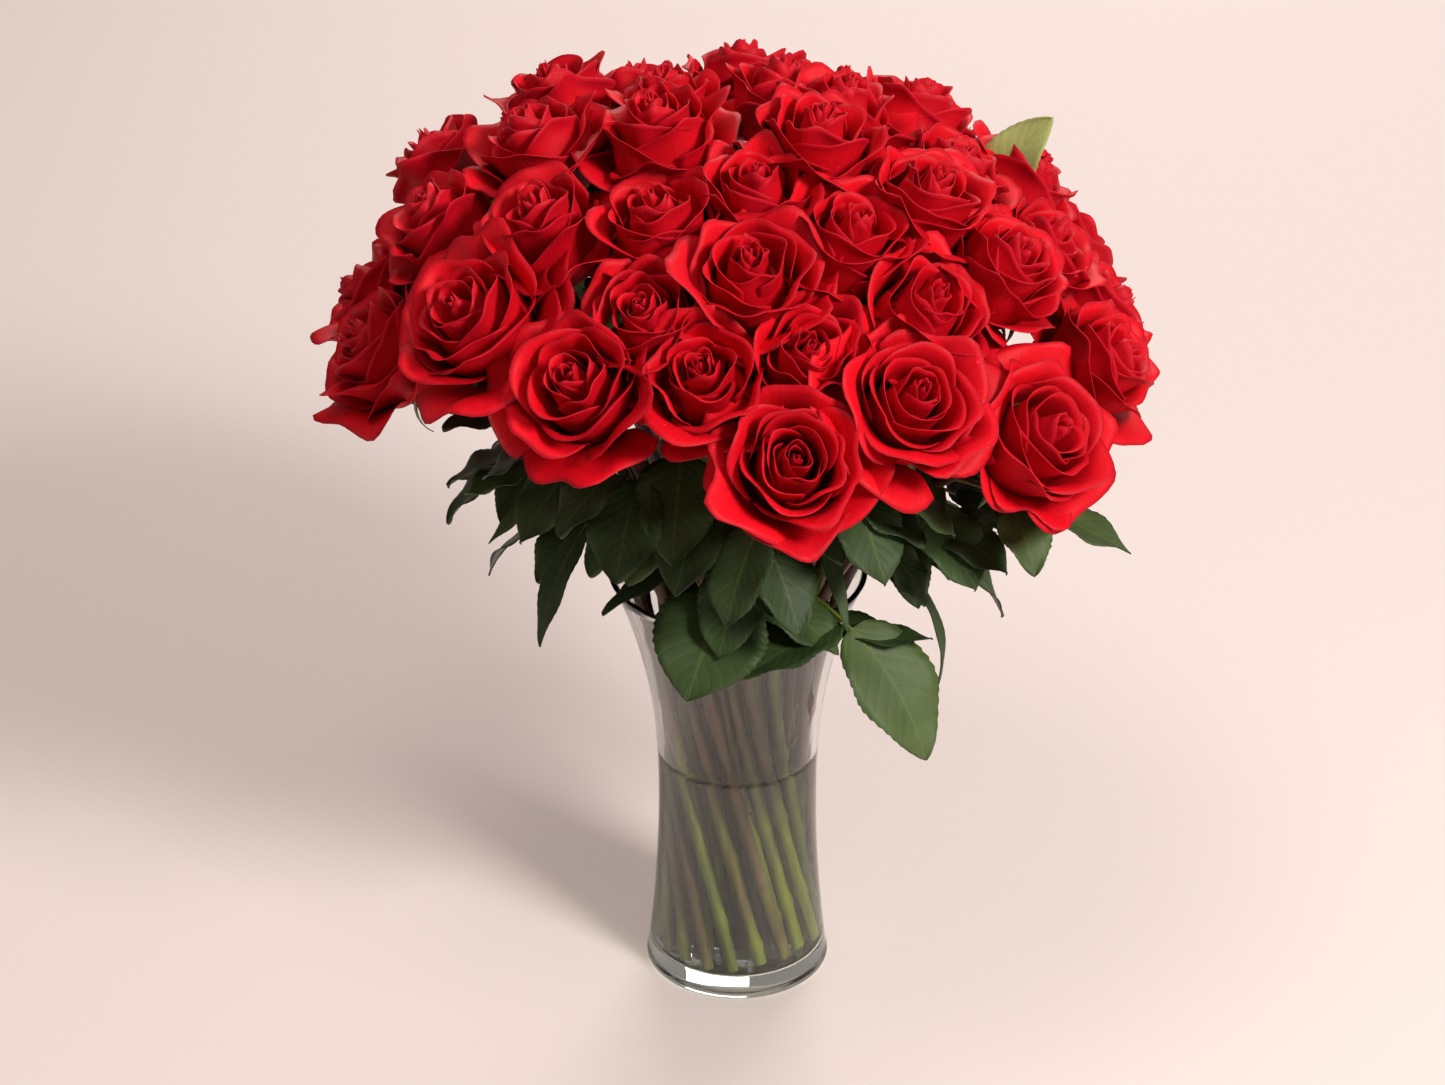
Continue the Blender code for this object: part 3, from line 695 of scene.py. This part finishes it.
def stemTree():
    tree, given = newTree("thorny stem", [
        ("Thickness", "Float", 0.003), ("Node Spacing", "Float", 0.046), ("Swelling", "Float", 0.3),
        ("Thorn Spacing", "Float", 0.03), ("Thorn Length", "Float", 0.004), ("Sides", "Int", 10),
        ("Seed", "Int", 1), ("Tone", "Float", 0.0), ("Bark", "Material", None)])
    path = addNode(tree, "GeometryNodeResampleCurve", {"mode": "LENGTH"},
                   {"Curve": given.outputs["Geometry"], "Length": 0.004})
    place = addNode(tree, "GeometryNodeSplineParameter")
    turns = addNode(tree, "ShaderNodeMath", {"operation": "DIVIDE"},
                    {0: place.outputs["Length"], 1: given.outputs["Node Spacing"]})
    phase = addNode(tree, "ShaderNodeMath", {"operation": "MULTIPLY_ADD"},
                    {0: turns.outputs[0], 1: math.pi, 2: given.outputs["Seed"]})
    ripple = addNode(tree, "ShaderNodeMath", {"operation": "COSINE"}, {0: phase.outputs[0]})
    even = addNode(tree, "ShaderNodeMath", {"operation": "ABSOLUTE"}, {0: ripple.outputs[0]})
    knot = addNode(tree, "ShaderNodeMath", {"operation": "POWER"},
                   {0: even.outputs[0], 1: stemShape["knotSharpness"]})
    swell = addNode(tree, "ShaderNodeMath", {"operation": "MULTIPLY_ADD"},
                    {0: knot.outputs[0], 1: given.outputs["Swelling"], 2: 1.0})
    drawn = addNode(tree, "GeometryNodeInputRadius")
    radius = addNode(tree, "ShaderNodeMath", {"operation": "MULTIPLY"},
                     {0: drawn.outputs[0], 1: swell.outputs[0]})
    shaped = addNode(tree, "GeometryNodeSetCurveRadius",
                     sockets={"Curve": path.outputs[0], "Radius": radius.outputs[0]})
    flush = addNode(tree, "ShaderNodeMath", {"operation": "MULTIPLY_ADD"},
                    {0: place.outputs["Factor"], 1: stemShape["flush"], 2: given.outputs["Tone"]})
    marked = addNode(tree, "GeometryNodeStoreNamedAttribute",
                     {"data_type": "FLOAT", "domain": "POINT"},
                     {"Geometry": shaped.outputs[0], "Name": "stemTone", "Value": flush.outputs[0]})
    ring = addNode(tree, "GeometryNodeCurvePrimitiveCircle", sockets={
        "Resolution": given.outputs["Sides"], "Radius": given.outputs["Thickness"]})
    tube = addNode(tree, "GeometryNodeCurveToMesh", sockets={
        "Curve": marked.outputs[0], "Profile Curve": ring.outputs[0], "Fill Caps": True,
        "Scale": radius.outputs[0]})
    spots = addNode(tree, "GeometryNodeCurveToPoints", {"mode": "LENGTH"},
                    {"Curve": shaped.outputs[0], "Length": given.outputs["Thorn Spacing"]})
    spin = addNode(tree, "FunctionNodeRandomValue", {"data_type": "FLOAT_VECTOR"}, {
        "Min": (0, 0, 0), "Max": (0, 0, 6.283), "Seed": given.outputs["Seed"]})
    spun = addNode(tree, "FunctionNodeRotateRotation", {"rotation_space": "LOCAL"},
                   {0: spots.outputs["Rotation"], 1: spin.outputs[0]})
    tipped = addNode(tree, "FunctionNodeRotateRotation", {"rotation_space": "LOCAL"},
                     {0: spun.outputs[0], 1: (math.radians(stemShape["thornTip"]), 0, 0)})
    cone = addNode(tree, "GeometryNodeMeshCone", sockets={
        "Vertices": 6, "Radius Top": 0.0001, "Radius Bottom": stemShape["thornFoot"],
        "Depth": given.outputs["Thorn Length"]})
    sunk = addNode(tree, "ShaderNodeCombineXYZ", sockets={"Z": stemShape["thornSeat"]})
    thorn = addNode(tree, "GeometryNodeTransform",
                    sockets={"Geometry": cone.outputs["Mesh"], "Translation": sunk.outputs[0]})
    thick = addNode(tree, "FunctionNodeCompare", {"operation": "GREATER_THAN"},
                    {0: drawn.outputs[0], 1: 0.9})
    some = addNode(tree, "FunctionNodeRandomValue", {"data_type": "BOOLEAN"},
                   {"Probability": stemShape["thornShare"], "Seed": given.outputs["Seed"]})
    chosen = addNode(tree, "FunctionNodeBooleanMath", {"operation": "AND"},
                     {0: thick.outputs[0], 1: some.outputs[3]})
    size = addNode(tree, "FunctionNodeRandomValue", {"data_type": "FLOAT"},
                   {2: 0.6, 3: 1.0, "Seed": given.outputs["Seed"]})
    thorns = addNode(tree, "GeometryNodeInstanceOnPoints", sockets={
        "Points": spots.outputs[0], "Selection": chosen.outputs[0], "Instance": thorn.outputs[0],
        "Rotation": tipped.outputs[0], "Scale": size.outputs[1]})
    both = addNode(tree, "GeometryNodeJoinGeometry")
    for part in (tube.outputs[0], thorns.outputs[0]):
        tree.links.new(part, both.inputs[0])
    endTree(tree, both.outputs[0], given.outputs["Bark"])
    return tree


def drawnCurve(name, lines):
    # lines is a list of (points, list of radius factors)
    curve = bpy.data.curves.new(name, "CURVE")
    curve.dimensions = "3D"
    for points, factors in lines:
        spline = curve.splines.new("POLY")
        spline.points.add(len(points) - 1)
        for slot, point, factor in zip(spline.points, points, factors):
            slot.co = (*point, 1.0)
            slot.radius = factor
    obj = bpy.data.objects.new(name, curve)
    scene.collection.objects.link(obj)
    return obj


leafShape = {
    "thickness": 0.0005,
    "teeth": 15,             # on each side
    "rows": 46,
    "cols": 9,
    "spread": 11,            # degrees that back leaves turn from their stem
    "seed": 23,
}

# rose number, where on its stem as mm that it has leaned out past the rim, heading azimuth,
# slope at the stem and at the tip in degrees, then stalk, blade length and blade width in mm,
# and how far the blade is rolled about its midrib
frontLeaves = [
    (1, 2, -30, -14, -60, 13, 62, 62, -22),
    (1, 0, 62, -16, -40, 7, 56, 34, 18),
    (17, -10, -58, -6, -26, 8, 64, 20, 0),
    (2, -8, 56, -10, -74, 46, 76, 50, 26),
    (2, -8, 68, -50, 24, 26, 60, 26, 0),
    (2, 20, 24, -40, -60, 4, 62, 10, 0),
    (2, 35, 62, -12, -34, 8, 50, 38, 0),
    (3, 13, 70, 6, -120, 28, 60, 9, 0),
    (3, 26, 52, -34, -56, 8, 40, 26, 0),
    (3, 45, 60, -14, -34, 12, 52, 36, 0),
    (3, 70, 76, -12, -26, 34, 66, 34, 0),
    (4, 32, 84, -14, -40, 20, 58, 38, 0),
    (14, 7, -46, -36, -80, 6, 72, 18, 0),
    (14, 22, -62, -18, -44, 6, 48, 12, 0),
    (14, 31, -74, -2, -30, 8, 40, 26, 0),
    (14, 62, -100, 16, 8, 8, 52, 30, 0),
    (15, 42, -84, 2, -22, 10, 52, 38, 0),
    (16, 5, -50, -8, -34, 8, 42, 32, 0),
    (16, 21, -50, -30, -60, 6, 50, 32, 0),
]
backRoses = range(5, 14)
backLeaves = [
    (30, 1, -18, -58, 16, 60, 36),
    (-1, -1, 12, -74, 22, 66, 38),
]


# leaves that thicken the foliage under the blooms, for looks only
fillLeaves = [
    (17, 14, -24, -20, -60, 8, 56, 42),
    (17, 6, 16, -24, -64, 8, 50, 36),
    (1, 14, -26, -36, -66, 6, 52, 38),
    (1, 30, 30, -30, -64, 6, 54, 36),
    (1, 44, -34, -40, -70, 6, 56, 38),
    (30, -4, -34, -20, -56, 10, 60, 44),
    (30, 6, -6, -24, -58, 10, 58, 44),
    (16, 30, -20, -36, -66, 6, 54, 42),
    (16, 40, -58, -24, -52, 6, 50, 38),
    (15, 20, -48, -20, -54, 8, 56, 40),
    (15, 30, -84, -14, -44, 8, 50, 36),
    (14, 40, -92, -16, -40, 8, 44, 30),
    (18, 0, 6, -20, -56, 10, 58, 44),
    (18, 14, 40, -16, -50, 10, 56, 42),
    (2, 44, 30, -34, -60, 8, 54, 42),
    (2, 52, 72, -20, -44, 8, 56, 42),
    (19, 16, 56, -14, -44, 10, 60, 46),
    (3, 52, 40, -30, -52, 8, 50, 40),
    (4, 50, 64, -20, -44, 10, 56, 40),
    (30, 30, -60, 6, -30, 8, 60, 46),
    (41, 2, -120, 50, 40, 6, 64, 54),
    (42, -8, -120, 50, 40, 6, 60, 50),
    (29, 44, -60, -4, -30, 8, 60, 46),
    (29, 44, -10, -10, -40, 8, 60, 46),
    (42, 10, -30, 10, -20, 10, 60, 46),
    (20, 50, 30, -10, -40, 8, 60, 46),
    (32, 20, 20, 10, -30, 8, 60, 46),
]


# the pale young leaf that stands up out of the blooms, for looks only
youngLeaves = [
    (22, 62, 84, 84, 44, 18, 64, 32, 62),
]

# rose number and heading of the leaves that are paler than the rest, and their tone
palerLeaves = {(2, 56): 0.46, (1, 62): 0.34, (22, 84): 0.95, (14, -62): 0.5, (14, -74): 0.55}


# side leaflets that share a front leaf's stalk: row of the front leaf, heading azimuth,
# slopes, blade length and width in mm
sideLeaflets = [
    (3, -62, -8, -24, 60, 44),
    (10, 20, -20, -50, 44, 30),
    (11, 130, -10, -40, 46, 30),
    (18, -110, -14, -40, 40, 26),
]


def leafList():
    leaves = [(number, out / 1000, azimuth, (start, end), sizes, 0)
              for number, out, azimuth, start, end, *sizes in fillLeaves]
    for number, out, azimuth, start, end, *sizes, roll in frontLeaves + youngLeaves:
        leaves.append((number, out / 1000, azimuth, (start, end), sizes, roll))
    for number in backRoses:
        own = roses[number - 1][0]
        for out, side, start, end, *sizes in backLeaves:
            way = own + side * leafShape["spread"]
            leaves.append((number, out / 1000, way, (start, end), sizes, 0))
    return leaves


def pointPastRim(route, out):
    reach = vaseShape["rim"] + out
    for low, high in zip(route, route[1:]):
        near, far = math.hypot(low.x, low.y), math.hypot(high.x, high.y)
        if low.z >= bunch["top"] and near <= reach <= far:
            return low.lerp(high, (reach - near) / (far - near))
    return route[-1]


def spineAt(start, azimuth, slopes, share, total):
    slope = mix(slopes[0], slopes[1], share)
    return start + heading(azimuth, (slopes[0] + slope) / 2) * share * total, slope


def bladeSheet(rng, start, azimuth, slopes, sizes, roll):
    # an ovate blade with saw teeth, folded a little along its midrib and waved at its edge
    stalk, length, width = (size / 1000 for size in sizes)
    total = stalk + length
    rows, cols = leafShape["rows"], leafShape["cols"]
    across = heading(azimuth + 90, 0)
    roll = math.radians(roll + rng.uniform(-8, 8))
    foldUp = rng.uniform(0.06, 0.24)
    phase = rng.uniform(0, 6.3)
    points, uv = [], []
    for c in range(cols):
        side = -1 + 2 * c / (cols - 1)
        for r in range(rows):
            blade = r / (rows - 1)
            spine, slope = spineAt(start, azimuth, slopes, (stalk + blade * length) / total, total)
            upward = heading(azimuth, slope + 90)
            outline = math.sin(math.pi * min(1, blade) ** 0.82) ** (0.56 + 0.24 * blade) * 1.02
            tooth = (blade * leafShape["teeth"]) % 1.0
            edge = 1 - 0.055 * (1 - tooth) * (abs(side) > 0.99) * (0.03 < blade < 0.97)
            half = width / 2 * outline * edge
            lateral = across * math.cos(roll) + upward * math.sin(roll)
            lifted = upward * math.cos(roll) - across * math.sin(roll)
            wave = 0.0016 * math.sin(blade * 15 + phase + side * 1.3) * abs(side) ** 2
            lift = half * abs(side) * foldUp + wave * min(1.0, width / 0.03)
            points.append(spine + lateral * half * side + lifted * lift)
            uv.append((side * 0.5 + 0.5, blade))
    return points, uv


def greenRow(number, rose, leaves, tree):
    # the stem with its leaf stalks and midribs as one tube piece, the blades as another
    rng = np.random.default_rng(leafShape["seed"] + number)
    route = stemRoute(rose, 14)
    lines = [(route, [1.0] * len(route))]
    points, uvs, tones, faces = [], [], [], []
    rows, cols = leafShape["rows"], leafShape["cols"]
    for _, out, azimuth, slopes, sizes, roll in leaves:
        stalk, length, width = sizes
        start = pointPastRim(route, out)
        blades = [(start, azimuth, slopes, sizes, roll)]
        whole = stalk + length
        joint = spineAt(start, azimuth, slopes, stalk * 0.9 / whole, whole / 1000)[0]
        for front, way, first, last, long, wide in sideLeaflets:
            own = frontLeaves[front]
            if (own[0], own[2], own[6]) == (number, azimuth, length):
                blades.append((joint, way, (first, last), (3, long, wide), 0))
        if number in backRoses and width > 20:       # a pair of smaller leaflets below the end one
            joint, slope = spineAt(start, azimuth, slopes, stalk * 0.55 / whole, whole / 1000)
            for side in (-1, 1):
                way = azimuth + side * rng.uniform(52, 68)
                size = (4, length * rng.uniform(0.66, 0.8), width * rng.uniform(0.7, 0.8))
                blades.append((joint, way, (slope - 4, slopes[1] * 0.8), size, 0))
        for begin, way, bend, size, turn in blades:
            total = (size[0] + size[1]) / 1000
            spine = [spineAt(begin, way, bend, i / 9, total)[0] for i in range(10)]
            ends = size[0] / (size[0] + size[1])
            thin = [mix(0.42, 0.26, min(1, i / 9 / ends)) if i / 9 < ends else
                    mix(0.24, 0.04, (i / 9 - ends) / (1 - ends)) for i in range(10)]
            lines.append((spine, thin))
            sheet, uv = bladeSheet(rng, begin, way, bend, size, turn)
            faces += gridFaces(cols, rows, len(points))
            points += sheet
            uvs += uv
            tone = rng.uniform(0.0, 0.42)
            tones += [palerLeaves.get((number, way), tone)] * len(sheet)
    curve = drawnCurve(f"stem_curve_{number:02d}", lines)
    stem = grownFrom(curve, tree, {
        "Thickness": bunch["stemRadius"] * stemShape["fuller"],
        "Node Spacing": stemShape["spacing"], "Swelling": stemShape["swelling"],
        "Thorn Spacing": stemShape["thornSpacing"],
        "Thorn Length": stemShape["thornLength"], "Sides": stemShape["sides"],
        "Seed": number, "Tone": rng.uniform(-0.2, 0.42), "Bark": bark}, f"stem_{number:02d}")
    pieces = [stem]
    if points:
        blades = meshObject(f"leaves_{number:02d}", points, faces, [leafTop, leafUnder],
                            uvs, "leafUV", {"leafTone": tones})
        shell = blades.modifiers.new("blade thickness", "SOLIDIFY")
        shell.thickness = leafShape["thickness"]
        shell.offset = -1
        shell.material_offset = 1
        pieces.append(blades)
    return pieces


calyxShape = {
    "sepals": 5,
    "length": 0.034,
    "width": 0.0075,
    "seed": 5,
}


def calyxRow(number, rose):
    # the round hip under the petals and the sepals bent back from its top
    rng = np.random.default_rng(calyxShape["seed"] + number)
    hip, long = dome["hipRadius"], dome["hipLength"]
    outline = [(hip * 0.5, 0.006), (hip * 0.98, 0.002), (hip, -long * 0.25),
               (hip * 0.86, -long * 0.6), (hip * 0.56, -long * 0.9), (0.0024, -long * 1.15)]
    points, faces = [], []
    sides = 12
    for radius, height in outline:
        points += [(radius * math.cos(a), radius * math.sin(a), height)
                   for a in np.linspace(0, 2 * math.pi, sides, endpoint=False)]
    for r in range(len(outline) - 1):
        for i in range(sides):
            j = (i + 1) % sides
            faces.append((r * sides + j, r * sides + i, (r + 1) * sides + i, (r + 1) * sides + j))
    for k in range(calyxShape["sepals"]):
        turn = 2 * math.pi * k / calyxShape["sepals"] + rng.uniform(-0.2, 0.2)
        droop = rng.uniform(60, 150)
        first = rng.uniform(50, 95)
        reach, height = hip * 0.8, 0.001
        start = len(points)
        steps = 9
        for i in range(steps):
            along = i / (steps - 1)
            slope = math.radians(first + droop * along)
            half = calyxShape["width"] / 2 * (1 - along) ** 0.7 + 0.0002
            for side in (-1, 0, 1):
                lift = 0.0009 * abs(side) * (1 - along)
                a = turn + math.atan2(side * half, max(reach, 0.004))
                points.append((reach * math.cos(a), reach * math.sin(a), height + lift))
            reach += math.sin(slope) * calyxShape["length"] / steps
            height += math.cos(slope) * calyxShape["length"] / steps
        for i in range(steps - 1):
            for side in range(2):
                a = start + i * 3 + side
                faces.append((a, a + 1, a + 4, a + 3))
    facing = bloomAxis(rose).to_track_quat("Z", "Y").to_matrix()
    place = np.array(points) @ np.array(facing).T + np.array(bloomBase(rose))
    piece = meshObject(f"calyx_{number:02d}", place, faces, [calyx])
    shell = piece.modifiers.new("sepal thickness", "SOLIDIFY")
    shell.thickness = 0.0005
    shell.offset = -1
    return piece


for number, rose in enumerate(roses, 1):
    piece = calyxRow(number, rose)
    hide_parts(f"rose_{number:02d}")
    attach(piece, "root")
print("calyxes made")


stems = stemTree()
leaves = leafList()
for number, rose in enumerate(roses, 1):
    own = [leaf for leaf in leaves if leaf[0] == number]
    for piece in greenRow(number, rose, own, stems):
        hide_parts(f"rose_{number:02d}")
        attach(piece, "root")
print("stems and leaves made")


# vase and water

def turnedSolid(name, outline, sides, mat):
    # a closed outline from the axis back to the axis, turned once
    points = [(0, 0, outline[0][1])]
    ring = outline[1:-1]
    for radius, height in ring:
        for i in range(sides):
            a = 2 * math.pi * i / sides
            points.append((radius * math.cos(a), radius * math.sin(a), height))
    points.append((0, 0, outline[-1][1]))
    last = len(points) - 1
    faces = []
    for i in range(sides):
        j = (i + 1) % sides
        faces.append((0, 1 + i, 1 + j))
        for r in range(len(ring) - 1):
            a, b = 1 + r * sides, 1 + (r + 1) * sides
            faces.append((a + i, b + i, b + j, a + j))
        top = 1 + (len(ring) - 1) * sides
        faces.append((last, top + j, top + i))
    return meshObject(name, points, faces, [mat])


def roundCorner(centre, radius, start, end, steps):
    # points on an arc in the (radius, height) plane, angles in degrees
    corner = []
    for i in range(steps + 1):
        a = math.radians(mix(start, end, i / steps))
        corner.append((centre[0] + radius * math.cos(a), centre[1] + radius * math.sin(a)))
    return corner


def vaseOutline():
    v = vaseShape
    half = v["wall"] / 2
    fillet = v["floorFillet"]
    top = v["floor"] + fillet
    outline = [(0, v["floor"]), (0.02, v["floor"])]
    outline += roundCorner((innerRadius(top) - fillet, top), fillet, -90, 0, 6)
    heights = np.linspace(top, v["height"] - half, 60)
    outline += [(innerRadius(h), h) for h in heights[1:-1]]
    lip = v["wall"] * 0.28   # ground edge, rounded only at its corners
    outline += roundCorner((v["rim"] - v["wall"] + lip, v["height"] - lip), lip, 180, 90, 4)
    outline += roundCorner((v["rim"] - lip, v["height"] - lip), lip, 90, 0, 4)
    heights = np.linspace(0.004, v["height"] - half, 60)
    outline += [(outerRadius(h), h) for h in reversed(heights[:-1])]
    outline += roundCorner((outerRadius(0) - 0.003, 0.003), 0.003, 0, -90, 5)
    outline += [(outerRadius(0) - 0.010, 0.0), (0, 0.0)]
    return outline


def waterOutline():
    v = vaseShape
    press = 0.00012          # the water reaches a little into the glass, so no air shows between
    fillet = v["floorFillet"]
    low = v["floor"] + fillet
    level = v["waterLevel"]
    outline = [(0, v["floor"] - press), (0.02, v["floor"] - press)]
    outline += roundCorner((innerRadius(low) - fillet, low), fillet + press, -90, 0, 6)
    outline += [(innerRadius(h) + press, h) for h in np.linspace(low, level, 34)[1:]]
    edge = innerRadius(level)
    # the water creeps 1.6 mm up the glass
    outline += [(edge - 0.0006, level - 0.0007), (edge - 0.0016, level - 0.0013)]
    outline += [(edge - 0.004, level - 0.0016), (0.02, level - 0.0016), (0, level - 0.0016)]
    return outline


vase = turnedSolid("glass_vase", vaseOutline(), 128, glass)
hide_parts("vase")
pool = turnedSolid("vase_water", waterOutline()[::-1], 128, water)
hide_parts("water")
for piece in (vase, pool):
    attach(piece, "root")
print("vase and water made")


# studio

studio = {
    "floor": "#DFD4CF",
    "camera": Vector((-0.0084, -1.7243, 1.1866)),
    "pitch": 28.1,           # degrees down
    "lens": 89.7,
    "sky": "#EADFDB",
    "skyStrength": 0.32,
    "aim": Vector((0, 0, 0.35)),
}

mat, tree, shader = newMaterial("pale_backdrop_paper")
shader.inputs["Base Color"].default_value = hexColour(studio["floor"])
shader.inputs["Roughness"].default_value = 0.8
low = -0.0004                # just clear of the glass standing on it
corners = [(-6, -6, low), (6, -6, low), (6, 6, low), (-6, 6, low)]
floor = meshObject("floor", corners, [(0, 1, 2, 3)], [mat])

world = bpy.data.worlds.new("studio")
scene.world = world
world.use_nodes = True
world.node_tree.nodes["Background"].inputs[0].default_value = hexColour(studio["sky"])
world.node_tree.nodes["Background"].inputs[1].default_value = studio["skyStrength"]

lights = {
    # name: place, size in metres, power in watts, colour
    "keySoftbox": ((1.45, -1.5, 1.75), 0.6, 66, "#FFF8F4"),
    "overhead": ((-0.3, -0.6, 2.3), 0.9, 12, "#FFF4EC"),
    "wallWash": ((0.5, 2.5, 2.0), 1.6, 52, "#FFF6F2"),
}
for name, (place, size, power, colour) in lights.items():
    data = bpy.data.lights.new(name, "AREA")
    data.shape = "SQUARE"
    data.size = size
    data.energy = power
    data.color = hexColour(colour)[:3]
    lamp = bpy.data.objects.new(name, data)
    lamp.location = place
    lamp.rotation_euler = (studio["aim"] - Vector(place)).to_track_quat("-Z", "Y").to_euler()
    scene.collection.objects.link(lamp)

cameraData = bpy.data.cameras.new("camera")
cameraData.lens = studio["lens"]
camera = bpy.data.objects.new("camera", cameraData)
camera.location = studio["camera"]
camera.rotation_euler = (math.radians(90 - studio["pitch"]), 0, 0)
scene.collection.objects.link(camera)
scene.camera = camera
